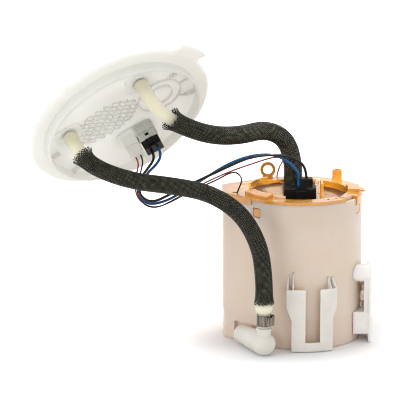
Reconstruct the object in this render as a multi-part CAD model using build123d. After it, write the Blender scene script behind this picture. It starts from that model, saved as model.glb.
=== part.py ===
from build123d import *
import math
import os

# Fuel pump module: a plastic swirl pot that stands on the tank floor with an electric pump inside,
# a tank flange, two braided fuel hoses and the lead wires between them, and a float level sender.
# Millimetres. The origin is the centre of the pot's underside, +Z is up, -Y is the guide bracket's side.

# ---------------------------------------------------------------- driving dimensions
POT_RADIUS = 53.4
POT_HEIGHT = 124.0
POT_WALL = 2.0
POT_FLOOR = 2.5
LOBE_RADIUS = 8.0
LOBE_FRONT = (-56.8, -8.0)
LOBE_BACK = (-56.8, 16.0)
BASE_STEP_HEIGHT = 25.6
BASE_STEP_INSET = 0.8

COVER_THICKNESS = 2.5
COVER_OVERHANG = 0.5
MOUTH_RADIUS = 41.5

BRACKET_RADIUS = 61.5
BRACKET_THICKNESS = 2.4

PUMP_RADIUS = 19.0
PUMP_BOTTOM = 18.0
PUMP_TOP = 98.0
SHAFT_RADIUS = 1.6
INLET = (11.0, 0.0)
OUTLET = (-5.0, 13.0)
RUNNING_GAP = 0.05

HOSE_TUBE_RADIUS = 5.2
HOSE_BORE_RADIUS = 4.1
SLEEVE_RADIUS = 7.3
SUPPLY_SLEEVE_RADIUS = 7.9
SLEEVE_BORE_RADIUS = 5.5
THICK_WIRE = 2.3
THIN_WIRE = 1.3

FLANGE_RADIUS = 81.5
FLANGE_CENTRE = Vector(-151.9, 0.0, 189.5)
FLANGE_UNDERSIDE = Vector(0.420, -0.650, -0.633).normalized()
FLANGE_LONG_WAY = Vector(0.870, 0.107, 0.481)
COLLAR_RADIUS = 70.0
COLLAR_HEIGHT = 12.0
SUPPLY_PORT = (28.5, 36.2)
RETURN_PORT = (-44.3, 19.3)
PLUG_ROW = -29.5

ELBOW_RADIUS = 9.7
ELBOW_BALL = (-31.0, -69.0, 10.0)
ELBOW_ROOT = (-49.0, -30.5, 7.9)

SENDER_PIVOT = (-14.0, 46.0)
SENDER_ARM_LENGTH = 75.0
SENDER_REST_ANGLE = -22.0
SENDER_PLATE_X = 58.5
SENDER_PLATE_THICKNESS = 2.5

COVER_TOP = POT_HEIGHT + COVER_THICKNESS

os.makedirs("parts", exist_ok=True)


# ---------------------------------------------------------------- shared shapes
def save(name, shape):
    export_step(shape, f"parts/{name}.step")


def drum(radius, low, high, x=0.0, y=0.0):
    """An upright cylinder between two heights."""
    return Pos(x, y, (low + high) / 2) * Cylinder(radius, high - low)


def ring(outer, inner, low, high, x=0.0, y=0.0):
    return drum(outer, low, high, x, y) - drum(inner, low - 1, high + 1, x, y)


def block(x_span, y_span, z_span):
    """A box between three pairs of limits."""
    centre = [(a + b) / 2 for a, b in (x_span, y_span, z_span)]
    size = [b - a for a, b in (x_span, y_span, z_span)]
    return Pos(*centre) * Box(*size)


def sector(outer, inner, low, high, start, sweep_angle):
    """Part of a ring, turned counter-clockwise from the start angle."""
    profile = Plane.XZ * Pos((outer + inner) / 2, (low + high) / 2) * Rectangle(outer - inner, high - low)
    return Rot(0, 0, start) * revolve(profile, Axis.Z, sweep_angle)


def rod(start, end, radius):
    """A round bar from one point to another."""
    axis = Vector(*end) - Vector(*start)
    return extrude(Plane(origin=start, z_dir=axis) * Circle(radius), amount=axis.length)


def group(solids):
    return Compound(children=list(solids))


def corner_radii(points):
    """The largest arc that both runs beside each corner allow."""
    radii = []
    for before, corner, after in zip(points, points[1:], points[2:]):
        first = Vector(*corner) - Vector(*before)
        second = Vector(*after) - Vector(*corner)
        half_turn = math.radians(first.get_angle(second) / 2)
        radii.append(0.45 * min(first.length, second.length) / math.tan(half_turn))
    return radii


def route(name, points, radii=None):
    radii = radii or corner_radii(points)
    path = FilletPolyline(*points, radius=radii)
    print(f"{name}: length {path.length:.1f}, radii {min(radii):.1f} to {max(radii):.1f}")
    return path


def tube(path, outer, inner=0.0):
    section = Plane(origin=path @ 0, z_dir=path % 0) * Circle(outer)
    if inner:
        section -= Plane(origin=path @ 0, z_dir=path % 0) * Circle(inner)
    return sweep(section, path=path)


# ---------------------------------------------------------------- swirl pot
def pot_outline(inset):
    """Round pot with a lobe on its left: the hull of one large circle and two corner circles."""
    circles = Circle(POT_RADIUS - inset).edges()
    for corner in (LOBE_FRONT, LOBE_BACK):
        circles += (Pos(*corner) * Circle(LOBE_RADIUS - inset)).edges()
    return make_hull(circles)


def pot_prism(inset, low, high):
    return Pos(0, 0, low) * extrude(pot_outline(inset), amount=high - low)


WINDOW_ANGLES = (-134.0, -23.5, 62.0, 112.0)
WINDOW_WIDTH = 8.5
WINDOW_LOW = 110.5
WINDOW_HIGH = 118.5
# The pocket for the jet pump: a notch across the flat wall's foot.
POCKET_FACE = Plane(origin=(-46.0, -30.6, 8.2), x_dir=(0.716, -0.698, 0), z_dir=(-0.698, -0.716, 0))
POCKET_WIDTH = 29.0
POCKET_HEIGHT = 16.4
POCKET_DEPTH = 5.5
FOOT_VALVE = (-34.0, 12.0)
LEAD_HOLE = (-54.5, -14.0)
# Each hook's angle round the wall, its height and the slope of the leads that lie in it.
WIRE_HOOKS = ((86.4, 82.5, 50.5), (59.0, 49.0, 45.4))
HOOK_REACH = 12.0


def pocket(extra):
    """The notch's volume, grown all round by a wall thickness when it is cut from the cavity."""
    depth = POCKET_DEPTH + extra + 8
    body = Box(POCKET_WIDTH + 2 * extra, POCKET_HEIGHT + 2 * extra, depth)
    return POCKET_FACE * Pos(0, 0, 8 - depth / 2) * body


def swirl_pot():
    body = pot_prism(0, BASE_STEP_HEIGHT, POT_HEIGHT)
    body += pot_prism(BASE_STEP_INSET, 0, BASE_STEP_HEIGHT)
    body -= pocket(0)
    cavity = pot_prism(POT_WALL + BASE_STEP_INSET, POT_FLOOR, BASE_STEP_HEIGHT + 2)
    cavity += pot_prism(POT_WALL, BASE_STEP_HEIGHT + 2, POT_HEIGHT + 1)
    cavity -= pocket(POT_WALL)
    body -= cavity
    for angle in WINDOW_ANGLES:
        window = block((POT_RADIUS - 8, POT_RADIUS + 3), (-WINDOW_WIDTH / 2, WINDOW_WIDTH / 2), (WINDOW_LOW, WINDOW_HIGH))
        body -= Rot(0, 0, angle) * window
    # Jet outlet through the pocket's back wall, and the floor valve's seat with its ring of ports.
    body -= rod(ELBOW_BALL, (-52.0, -24.1, 7.6), 4.1)
    body += ring(9.0, 7.6, POT_FLOOR, POT_FLOOR + 2.5, *FOOT_VALVE)
    body -= drum(1.6, -1, POT_FLOOR + 1, *FOOT_VALVE)
    for turn in range(6):
        away = math.radians(60 * turn)
        body -= drum(1.3, -1, POT_FLOOR + 1, FOOT_VALVE[0] + 4.5 * math.cos(away), FOOT_VALVE[1] + 4.5 * math.sin(away))
    # Wire hooks round the back wall, each a small sloping shelf with an upstand.
    for angle, height, slope in WIRE_HOOKS:
        tip = POT_RADIUS + HOOK_REACH
        hook = block((POT_RADIUS - 4, tip), (-2.5, 2.5), (-2.3, -0.8)) + block((tip - 1.4, tip), (-2.5, 2.5), (-2.3, 2.6))
        hook = Pos(0, 0, height) * Rot(slope, 0, 0) * hook
        body += Rot(0, 0, angle) * hook - drum(POT_RADIUS - 1, 0, POT_HEIGHT)
    # Lead hole through the back flat of the lobe.
    body -= rod((-53.4, 17.0, 104.6), (-54.0, 40.0, 104.6), 3.0)
    return body


# ---------------------------------------------------------------- top cover
FINGER_RING = (-25.3, 46.0, 134.0)
COVER_POST = (34.2, 34.4)


def top_cover():
    plate = pot_prism(-COVER_OVERHANG, POT_HEIGHT, COVER_TOP)
    # The right-hand gap in the rim, and the step beside it.
    plate -= sector(60, MOUTH_RADIUS - 3, POT_HEIGHT - 1, COVER_TOP + 1, -45, 15)
    plate -= sector(60, 51.0, POT_HEIGHT + 1.2, COVER_TOP + 1, -12, 36)
    # Spigot wall inside the mouth, deepest at the back right, and the raised lip behind the lobe.
    inner = MOUTH_RADIUS - 1.5
    plate += sector(43.4, inner, POT_HEIGHT - 3, COVER_TOP - 0.5, 10, 54)
    plate += sector(43.6, inner, COVER_TOP - 1, COVER_TOP + 3.6, 128, 40)
    # Raised block left of the front rim, sloping down to it.
    wedge = Polyline((inner, COVER_TOP - 1.2), (inner, COVER_TOP + 3.8), (50.0, COVER_TOP + 2.4),
                     (50.0, COVER_TOP - 1.2), close=True)
    plate += Rot(0, 0, 202) * revolve(make_face(Plane.XZ * wedge), Axis.Z, 34)
    # Bridge block with an outward lip on the right.
    plate += sector(51.5, inner, COVER_TOP - 0.9, COVER_TOP + 2.2, -12, 26)
    plate += sector(56.0, 50.0, POT_HEIGHT + 0.3, POT_HEIGHT + 1.7, 0, 12)
    # Skirts over the wall's outside: a long one in front of the lobe and a short one beside the gap.
    skirt = pot_prism(-1.0, POT_HEIGHT - 3.5, COVER_TOP - 0.8) - pot_prism(-0.05, POT_HEIGHT - 5, POT_HEIGHT)
    plate += skirt & block((-59.0, -41.5), (-48.0, -8.0), (POT_HEIGHT - 6, COVER_TOP))
    plate += sector(POT_RADIUS + 1.2, POT_RADIUS + 0.05, POT_HEIGHT - 5.5, COVER_TOP - 0.7, -29, 17)
    plate -= drum(MOUTH_RADIUS, POT_HEIGHT - 4, COVER_TOP + 4)
    # Web that hangs down beside the pump's plug.
    plate += block((20.0, 22.0), (24.0, 37.2), (112.0, COVER_TOP - 0.3))
    # Slots, the lead hole in the lobe's plate and two holes in the front rim.
    for y in (20.0, 4.0):
        plate -= Pos(-47.5, y, COVER_TOP) * Box(5.0, 1.6, 8)
    plate -= drum(2.4, POT_HEIGHT - 1, COVER_TOP + 1, *LEAD_HOLE)
    for angle in (-50.5, -61.0):
        plate -= Rot(0, 0, angle) * drum(1.3, POT_HEIGHT - 4, COVER_TOP + 1, 46.5, 0)
    # Snap legs that reach down inside the wall, with a hook in each window.
    for angle in WINDOW_ANGLES:
        leg = block((POT_RADIUS - 5.4, POT_RADIUS - POT_WALL - 0.5), (-3.6, 3.6), (WINDOW_LOW - 0.2, COVER_TOP - 1.1))
        leg += block((POT_RADIUS - 4, POT_RADIUS - 0.6), (-3.5, 3.5), (WINDOW_LOW + 0.6, WINDOW_HIGH - 0.8))
        leg -= Pos(POT_RADIUS + 1.6, 0, WINDOW_LOW - 1.2) * Rot(0, 30, 0) * Box(5, 9, 7)
        plate += Rot(0, 0, angle) * leg
    return plate + finger_ring() + cover_post()


def finger_ring():
    """The pull ring that stands on the back of the cover."""
    x, y, z = FINGER_RING
    upright = Plane(origin=(x, y + 1.4, z), x_dir=(1, 0, 0), z_dir=(0, -1, 0))
    eye = extrude(upright * Circle(6.6), amount=2.8)
    eye += block((x - 4.3, x + 4.3), (y - 1.4, y + 1.4), (COVER_TOP - 1.3, z - 3.5))
    eye -= extrude(upright * Pos(0, 0, -1) * Circle(4.1), amount=5)
    return eye


def cover_post():
    """A hollow guide post, flat on its front."""
    x, y = COVER_POST
    post = drum(4.3, COVER_TOP - 1.4, COVER_TOP + 9.5, x, y + 1.5)
    post -= block((x - 6, x + 6), (y - 8, y - 1.2), (COVER_TOP, COVER_TOP + 12))
    post -= drum(2.2, COVER_TOP + 1.5, COVER_TOP + 12, x, y + 1.9)
    return post


# ---------------------------------------------------------------- front guide bracket
def front_guide_bracket():
    """A curved U plate that stands off the wall on four fins, for sliding a fitting up behind it."""
    foot, top, slot_low = 0.6, 53.5, 8.0
    outline = Polyline((-12.2, top), (-12.2, 38.5), (-7.9, 27.0), (-7.9, foot), (26.9, foot), (26.9, 28.5),
                       (30.4, 38.5), (30.4, top), (16.1, top), (16.1, slot_low), (3.7, slot_low), (3.7, top), close=True)
    front = extrude(Plane.XZ * make_face(outline), amount=80)
    plate = front & ring(BRACKET_RADIUS, BRACKET_RADIUS - BRACKET_THICKNESS, 0, top + 1)
    fin_tip = BRACKET_RADIUS - 1.2
    wall = POT_RADIUS - 0.3
    for angle, foot_height, tip_height in ((-101.0, 40.0, 65.6), (-96.6, 6.0, 67.7), (-64.9, 6.0, 63.0), (-60.4, 40.0, 62.0)):
        fin = Polyline((wall, foot_height), (fin_tip, foot_height), (fin_tip, top), (wall, tip_height), close=True)
        plate += Rot(0, 0, angle) * extrude(Plane.XZ * make_face(fin), amount=0.6, both=True)
    return plate - pot_prism(0, BASE_STEP_HEIGHT, POT_HEIGHT) - pot_prism(BASE_STEP_INSET, 0, BASE_STEP_HEIGHT)


# ---------------------------------------------------------------- level sender
HUB_X = 55.0
PLATE_INNER = SENDER_PLATE_X
TERMINAL_REAR = 8.5
PLATE_OUTER = SENDER_PLATE_X + SENDER_PLATE_THICKNESS


def sender_holder():
    """An upright white plate on two standoffs, facing right; the pivot runs through it."""
    y, z = SENDER_PIVOT
    outline = Plane.YZ * (Pos(-10, 28.0) * Rectangle(38, 56) + Pos(-12, 56.0) * Circle(10.5) + Pos(-12, 50.0) * Rectangle(24, 12))
    plate = Pos(PLATE_INNER, 0, 0) * extrude(outline, amount=SENDER_PLATE_THICKNESS)
    plate -= Pos(PLATE_INNER, 0, 0) * block((-5, 5), (1.0, 12.0), (-1, 9.0))
    standoffs = Pos(50, -22.0, 59.0) * Rot(0, 90, 0) * Cylinder(7.5, 20)
    standoffs += block((42, PLATE_INNER + 1), (-28.0, -17.0), (7.0, 26.0))
    standoffs += block((PLATE_INNER - 4, PLATE_INNER + 1), (-27.5, -25.5), (25.0, 60.0))
    standoffs -= drum(POT_RADIUS, -5, POT_HEIGHT)
    standoffs -= block((PLATE_INNER + 1, 80), (-40, 20), (-5, 90))
    plate += standoffs
    # Terminal box on the inner face, where the two thin leads end.
    plate += block((PLATE_INNER - 3.6, PLATE_INNER + 0.5), (5.0, TERMINAL_REAR), (14.0, 28.0))
    plate -= rod((PLATE_INNER - 9, y, z), (PLATE_OUTER + 9, y, z), 1.0 + RUNNING_GAP)
    return plate


def sender_card():
    """Ceramic resistor card on the inner face, with its bent contact track."""
    y, z = SENDER_PIVOT
    card = block((PLATE_INNER - 1.0, PLATE_INNER), (-9.0, 4.0), (26.0, 44.0))
    card += block((PLATE_INNER - 1.0, PLATE_INNER), (-7.0, 2.0), (44.0, 52.0))
    card -= rod((PLATE_INNER - 9, y, z), (PLATE_OUTER + 9, y, z), 4.0)
    return card


def arm_point(along, x):
    y, z = SENDER_PIVOT
    angle = math.radians(SENDER_REST_ANGLE)
    return (x, y + along * math.cos(angle), z + along * math.sin(angle))


def sender_wiper():
    """The plastic hub that carries the wire arm and the wiper blade."""
    y, z = SENDER_PIVOT
    hub = rod((HUB_X - 1.9, y, z), (HUB_X + 2.2, y, z), 4.6)
    hub += Pos(HUB_X, y, z) * Rot(-90 + SENDER_REST_ANGLE, 0, 0) * Pos(0, 0, 7) * Box(3.0, 5.4, 14)
    hub -= rod((HUB_X - 9, y, z), (HUB_X + 9, y, z), 1.0)
    hub -= rod(arm_point(0, HUB_X), arm_point(30, HUB_X), 1.0)
    return hub


def float_arm():
    """One steel wire: pivot end, long arm, and the bent end inside the float."""
    y, z = SENDER_PIVOT
    wire = rod((HUB_X - 0.9, y, z), (PLATE_OUTER + 0.6, y, z), 1.0)
    wire += Pos(HUB_X, y, z) * Sphere(1.0)
    wire += rod(arm_point(0, HUB_X), arm_point(SENDER_ARM_LENGTH, HUB_X), 1.0)
    wire += Pos(*arm_point(SENDER_ARM_LENGTH, HUB_X)) * Sphere(1.0)
    wire += rod(arm_point(SENDER_ARM_LENGTH, HUB_X), arm_point(SENDER_ARM_LENGTH, HUB_X + 7.5), 1.0)
    return wire


def sender_float():
    """Closed foam float, a rounded block slotted for the wire."""
    body = Box(14, 34, 20)
    body = fillet(body.edges().filter_by(Axis.X), 7)
    body = fillet(body.edges(), 1.2)
    body = Pos(*arm_point(SENDER_ARM_LENGTH, 56.0)) * body
    body -= rod(arm_point(SENDER_ARM_LENGTH - 40, HUB_X), arm_point(SENDER_ARM_LENGTH, HUB_X), 1.0)
    body -= Pos(*arm_point(SENDER_ARM_LENGTH, HUB_X)) * Sphere(1.0)
    body -= rod(arm_point(SENDER_ARM_LENGTH, HUB_X), arm_point(SENDER_ARM_LENGTH, HUB_X + 7.5), 1.0)
    return body


# ---------------------------------------------------------------- jet pump elbow and hose A's lower end
CLAMP_LOW = 25.8
CLAMP_HIGH = 35.0


def jet_pump_elbow():
    """White elbow: upright nipple, ball end and a barrel that runs back to the pot's foot."""
    x, y, z = ELBOW_BALL
    body = Pos(x, y, z) * Sphere(ELBOW_RADIUS)
    axis = Vector(*ELBOW_ROOT) - Vector(x, y, z)
    barrel_start = Plane(origin=(x, y, z), z_dir=axis)
    # The barrel tapers and steps down twice towards the pot.
    body += extrude(barrel_start * Circle(ELBOW_RADIUS), amount=28, taper=2.6)
    body += extrude(barrel_start * Circle(ELBOW_RADIUS - 1.7), amount=35)
    body += extrude(barrel_start * Circle(ELBOW_RADIUS - 2.1), amount=axis.length)
    body += drum(6.0, z, 22.0, x, y)
    body += drum(6.7, 22.0, 23.6, x, y)
    body += drum(HOSE_BORE_RADIUS - 0.05, 23.0, 34.0, x, y)
    body -= drum(2.6, z, 35.0, x, y)
    body -= extrude(Plane(origin=(x, y, z), z_dir=axis) * Circle(5.0), amount=axis.length + 5)
    # The barrel's foot is trimmed to the pocket's back wall.
    body -= POCKET_FACE * Pos(0, 0, -POCKET_DEPTH - 20) * Box(60, 60, 40)
    body -= pot_prism(BASE_STEP_INSET, -5, BASE_STEP_HEIGHT) - pocket(0)
    body -= Pos(x, y, -10) * Box(80, 90, 20)
    return body


def jet_nozzle():
    """Brass-tipped jet pressed into the barrel, blowing towards the pot."""
    start = Vector(*ELBOW_BALL)
    axis = (Vector(*ELBOW_ROOT) - start).normalized()
    seat = Plane(origin=start + axis * 12, z_dir=axis)
    body = extrude(seat * Circle(5.0), amount=6)
    body += extrude(Plane(origin=start + axis * 18, z_dir=axis) * Circle(3.0), amount=8, taper=8)
    body -= extrude(Plane(origin=start + axis * 11, z_dir=axis) * Circle(1.0), amount=20)
    return body


def hose_clamp():
    """Stepless ear clamp: a thin band, its ear and the tongue that tucks under."""
    x, y, _ = ELBOW_BALL
    outer = HOSE_TUBE_RADIUS + 1.0
    band = ring(outer, HOSE_TUBE_RADIUS, CLAMP_LOW, CLAMP_HIGH, x, y)
    ear = block((x + outer - 0.6, x + outer + 2.4), (y - 3.2, y + 2.0), (CLAMP_LOW + 0.4, CLAMP_HIGH - 0.4))
    ear -= block((x + outer, x + outer + 1.6), (y - 2.4, y + 1.2), (CLAMP_LOW - 1, CLAMP_HIGH + 1))
    ear += block((x + 1.5, x + 6.6), (y - outer - 0.8, y - outer + 1.6), (CLAMP_LOW + 1.2, CLAMP_HIGH - 1.2))
    ear -= drum(HOSE_TUBE_RADIUS + 0.3, CLAMP_LOW - 1, CLAMP_HIGH + 1, x, y)
    return band + ear


# ---------------------------------------------------------------- tank flange
long_way = FLANGE_LONG_WAY - FLANGE_UNDERSIDE * FLANGE_LONG_WAY.dot(FLANGE_UNDERSIDE)
# Its own X runs along the tab, and its own Z points out of the underside.
FLANGE = Plane(origin=FLANGE_CENTRE, x_dir=long_way.normalized(), z_dir=FLANGE_UNDERSIDE)
DISC_THICKNESS = 2.6
TAB_RADIUS = 90.5
TAB_ANGLE = 23.8
RING_CENTRE = (38.0, 4.0)
SOCKET_X = 4.5


def on_flange(shape):
    return FLANGE.location * shape


def flange_disc():
    """The white disc with its sealing collar, ribs, bosses and bayonet tab."""
    rim = Plane.XZ * Polyline((66.0, 0.0), (66.0, DISC_THICKNESS), (67.6, DISC_THICKNESS), (67.6, COLLAR_HEIGHT),
                              (69.6, COLLAR_HEIGHT), (COLLAR_RADIUS, 11.0), (COLLAR_RADIUS, 3.4), (79.5, 3.4),
                              (FLANGE_RADIUS, 2.0), (FLANGE_RADIUS, -0.6), (79.8, -2.0), (73.0, -2.0),
                              (71.0, 0.0), close=True)
    disc = revolve(make_face(rim), Axis.Z, 360)
    disc += drum(66.5, 0, DISC_THICKNESS)
    # Bayonet tab: its two sides flare outwards and its tip is concentric with the disc.
    tab = Polyline((76.0, -13.0), (84.5, -13.0), (88.0, -15.6), (92.0, -15.6), (92.0, 15.0), (86.0, 15.0), (76.0, 19.0),
                   close=True)
    disc += Rot(0, 0, TAB_ANGLE) * extrude(make_face(tab) & Circle(TAB_RADIUS), amount=3.0)
    # Bosses under the two ports.
    for port in (SUPPLY_PORT, RETURN_PORT):
        disc += Pos(*port, 0) * extrude(RectangleRounded(24, 20, 3), amount=DISC_THICKNESS + 1.6)
    # A lattice of low ribs over the disc's middle, and two rings with spokes near the tab.
    lattice = [Pos(x, 8.0) * Rot(0, 0, turn) * Rectangle(70, 1.1) for turn in (52, -38) for x in range(-62, 36, 8)]
    field = Pos(-13.0, 8.0) * Rot(0, 0, 8) * Ellipse(32, 20)
    ribs = extrude(Sketch() + lattice & field, amount=1.5)
    disc += Pos(0, 0, DISC_THICKNESS - 0.2) * ribs
    for radius in (12.0, 20.0):
        disc += ring(radius, radius - 1.2, DISC_THICKNESS - 0.2, DISC_THICKNESS + 2.2, *RING_CENTRE)
    for angle in (48.0, 4.0, -44.0):
        spoke = Rot(0, 0, angle) * Pos(23.5, 0, DISC_THICKNESS + 0.9) * Box(8.5, 1.2, 2.2)
        disc += Pos(*RING_CENTRE, 0) * spoke
    for angle in (22.0, -12.0, 62.0, -150.0, 178.0, -75.0):
        disc += Rot(0, 0, angle) * Pos(63.5, 0, DISC_THICKNESS + 2.2) * Box(9.0, 1.4, 4.8)
    for port in (SUPPLY_PORT, RETURN_PORT):
        disc -= drum(4.6, -5, 12, *port)
    disc -= Pos(SOCKET_X, PLUG_ROW, -5) * extrude(RectangleRounded(25.6, 13.0, 4), amount=17)
    return on_flange(disc)


def port_nipple(port, heading):
    """A quick-connect spigot on top, turned to lie along the disc, and a barb for the tube below."""
    body = drum(4.6, -1.0, 6.0) + drum(7.0, -2.6, 0.0)
    body += drum(HOSE_BORE_RADIUS - 0.05, 5.0, 14.5)
    body += drum(5.6, -14.0, -2.6) + Pos(0, 0, -14.0) * Sphere(5.6)
    spigot = rod((0, 0, -14.0), (34.0, 0, -14.0), 3.945)
    spigot += rod((15.0, 0, -14.0), (17.0, 0, -14.0), 5.2)
    body += Rot(0, 0, heading) * spigot
    bore = drum(2.6, -14.0, 25.0) + Rot(0, 0, heading) * rod((0, 0, -14.0), (36.0, 0, -14.0), 2.6)
    bore += Pos(0, 0, -14.0) * Sphere(2.6)
    return on_flange(Pos(*port, 0) * (body - bore))


PIN_PLACES = (9.4, 15.4, -5.2, -0.8)


def flange_socket():
    """Grey feed-through: two lead sockets below the disc and one keyed socket shroud above it."""
    body = Pos(SOCKET_X, PLUG_ROW, 0) * extrude(RectangleRounded(25.5, 12.9, 4), amount=4.0)
    body += Pos(SOCKET_X, PLUG_ROW, DISC_THICKNESS) * extrude(RectangleRounded(33, 19, 4), amount=2.0)
    body += Pos(11.0, PLUG_ROW, 4.0) * extrude(RectangleRounded(20.5, 16, 3), amount=7.0)
    body += Pos(12.4, PLUG_ROW, 11.2) * Box(16.0, 12.0, 14.4)
    body += Pos(-3.0, PLUG_ROW, 9.7) * Box(12.4, 10.0, 11.4)
    shroud = extrude(RectangleRounded(30, 17, 5), amount=-17)
    shroud -= Pos(0, 0, -3) * extrude(RectangleRounded(26.6, 13.6, 3.5), amount=-20)
    body += Pos(SOCKET_X, PLUG_ROW, 0) * shroud
    body += Pos(SOCKET_X, PLUG_ROW - 9.0, -12.0) * Box(6.0, 2.4, 4.0)
    body -= Pos(12.4, PLUG_ROW, 14.4) * Box(12.8, 8.8, 10.0)
    body -= Pos(-3.0, PLUG_ROW, 12.4) * Box(9.4, 7.0, 8.0)
    body -= Pos(12.4, PLUG_ROW + 6, 13.6) * Box(3.4, 4.0, 3.0)
    for x in PIN_PLACES:
        body -= flat_pin(x)
    return on_flange(body)


def flat_pin(x):
    """A flat blade below the disc that narrows to a square pin above it."""
    return Pos(x, PLUG_ROW, 6.0) * Box(1.6, 0.8, 13.0) + Pos(x, PLUG_ROW, -5.5) * Box(0.8, 0.8, 11.0)


def socket_pins():
    """Four terminals that run through the feed-through."""
    return group([on_flange(flat_pin(x)) for x in PIN_PLACES])


def pump_lead_plug():
    """Black plug in the grey socket, with a latch ledge on its front."""
    body = Pos(12.4, PLUG_ROW, 18.2) * Box(12.4, 8.4, 17.0)
    body += Pos(12.4, PLUG_ROW, 22.7) * Box(15.6, 11.6, 8.0)
    body += Pos(12.4, PLUG_ROW + 6.6, 22.0) * Box(7.0, 2.0, 6.0)
    body -= Pos(9.4, PLUG_ROW, 8.0) * Box(1.9, 1.1, 12.0)
    body -= Pos(15.4, PLUG_ROW, 8.0) * Box(1.9, 1.1, 12.0)
    return on_flange(body)


def sender_lead_plug():
    """Small white two-way plug for the thin leads."""
    body = Pos(-3.0, PLUG_ROW, 17.3) * Box(9.0, 6.6, 16.6)
    body += Pos(-3.0, PLUG_ROW, 20.6) * Box(12.0, 9.6, 10.0)
    body -= Pos(-5.2, PLUG_ROW, 10.0) * Box(1.9, 1.1, 12.0)
    body -= Pos(-0.8, PLUG_ROW, 10.0) * Box(1.9, 1.1, 12.0)
    return on_flange(body)


def flange_point(x, y, z):
    point = FLANGE.from_local_coords(Vector(x, y, z))
    return (point.X, point.Y, point.Z)


# ---------------------------------------------------------------- hoses
RETURN_HOSE = [
    flange_point(*RETURN_PORT, 6.0),
    flange_point(*RETURN_PORT, 25.0),
    (-170.0, -43.0, 153.0),
    (-140.0, -48.0, 143.5),
    (-107.0, -51.5, 140.5),
    (-76.0, -56.0, 135.5),
    (-50.0, -63.0, 120.0),
    (-35.0, -67.0, 93.5),
    (-31.3, -69.5, 67.0),
    (ELBOW_BALL[0], ELBOW_BALL[1], 45.0),
    (ELBOW_BALL[0], ELBOW_BALL[1], 23.6),
]
SUPPLY_HOSE = [
    flange_point(*SUPPLY_PORT, 6.0),
    flange_point(*SUPPLY_PORT, 22.5),
    (-115.5, -39.5, 198.5),
    (-97.0, -31.0, 186.0),
    (-74.0, -22.0, 177.0),
    (-51.0, -12.0, 175.0),
    (-28.5, 0.0, 178.5),
    (-11.0, 10.0, 168.0),
    (-4.6, 12.5, 147.0),
    (OUTLET[0], OUTLET[1], 128.0),
    (OUTLET[0], OUTLET[1], 110.0),
]


def between(first, second, share):
    """A point part of the way along a run."""
    return tuple(a + (b - a) * share for a, b in zip(first, second))


return_tube_path = route("return_tube", RETURN_HOSE)
supply_tube_path = route("supply_tube", SUPPLY_HOSE)
return_radii = corner_radii(RETURN_HOSE)
supply_radii = corner_radii(SUPPLY_HOSE)
return_sleeve_points = [between(RETURN_HOSE[1], RETURN_HOSE[2], 0.4)] + RETURN_HOSE[2:-2]
return_sleeve_points += [(ELBOW_BALL[0], ELBOW_BALL[1], CLAMP_HIGH + 8.5)]
return_sleeve_path = route("return_sleeve", return_sleeve_points, return_radii[1:-1])
supply_sleeve_points = [between(SUPPLY_HOSE[2], SUPPLY_HOSE[3], 0.5)] + SUPPLY_HOSE[3:-1]
supply_sleeve_points += [(OUTLET[0], OUTLET[1], 117.0)]
supply_sleeve_path = route("supply_sleeve", supply_sleeve_points, supply_radii[2:])

# ---------------------------------------------------------------- lead wires
FLANGE_PLUG_END = 26.7
SENDER_PLUG_END = 25.6
BLUE_LEAD = [
    flange_point(15.4, PLUG_ROW, FLANGE_PLUG_END),
    flange_point(15.4, PLUG_ROW, FLANGE_PLUG_END + 8),
    (-120.0, 1.2, 148.5),
    (-130.5, 2.0, 138.5),
    (-137.0, 2.0, 122.0),
    (-129.0, 2.0, 112.0),
    (-113.0, 1.5, 115.5),
    (-98.0, 1.0, 124.5),
    (-80.0, 0.0, 136.0),
    (-62.0, -2.0, 148.0),
    (-43.0, -5.0, 156.5),
    (-22.0, -7.5, 158.5),
    (-9.0, -7.0, 151.5),
    (-1.0, -5.8, 142.0),
    (-0.6, -4.6, 135.5),
    (-0.6, -4.6, 130.0),
]
BLACK_LEAD = [
    flange_point(9.4, PLUG_ROW, FLANGE_PLUG_END),
    flange_point(9.4, PLUG_ROW, FLANGE_PLUG_END + 8),
    (-127.5, -3.0, 146.0),
    (-135.0, -2.0, 136.0),
    (-136.5, -2.0, 122.0),
    (-125.0, -2.5, 114.5),
    (-108.0, -3.0, 123.5),
    (-86.0, -4.0, 134.5),
    (-64.0, -6.0, 145.5),
    (-43.0, -9.0, 156.0),
    (-22.0, -11.5, 159.0),
    (-8.0, -11.0, 157.0),
    (2.0, -7.5, 150.5),
    (5.4, -5.2, 143.5),
    (6.0, -4.5, 137.0),
]
RED_LEAD = [
    flange_point(-5.2, PLUG_ROW, SENDER_PLUG_END),
    flange_point(-5.2, PLUG_ROW, SENDER_PLUG_END + 6),
    (-137.5, 2.0, 141.5),
    (-140.0, 6.0, 128.5),
    (-137.0, 7.0, 114.5),
    (-122.0, 7.0, 107.5),
    (-105.0, 7.0, 116.5),
    (-86.0, 7.0, 127.5),
    (-62.0, 10.0, 138.5),
    (-40.0, 19.0, 144.5),
    (-20.0, 31.0, 148.5),
    (-11.0, 43.0, 144.0),
    (-15.5, 55.5, 134.0),
    (-18.0, 59.5, 120.0),
    (-14.0, 60.0, 106.0),
    (-3.0, 62.0, 91.0),
    (11.0, 61.5, 74.0),
    (25.0, 57.0, 57.0),
    (38.0, 48.0, 41.0),
    (47.0, 35.5, 28.0),
    (54.0, 24.0, 22.0),
    (56.8, 15.5, 24.0),
    (56.8, TERMINAL_REAR, 24.0),
]
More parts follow.
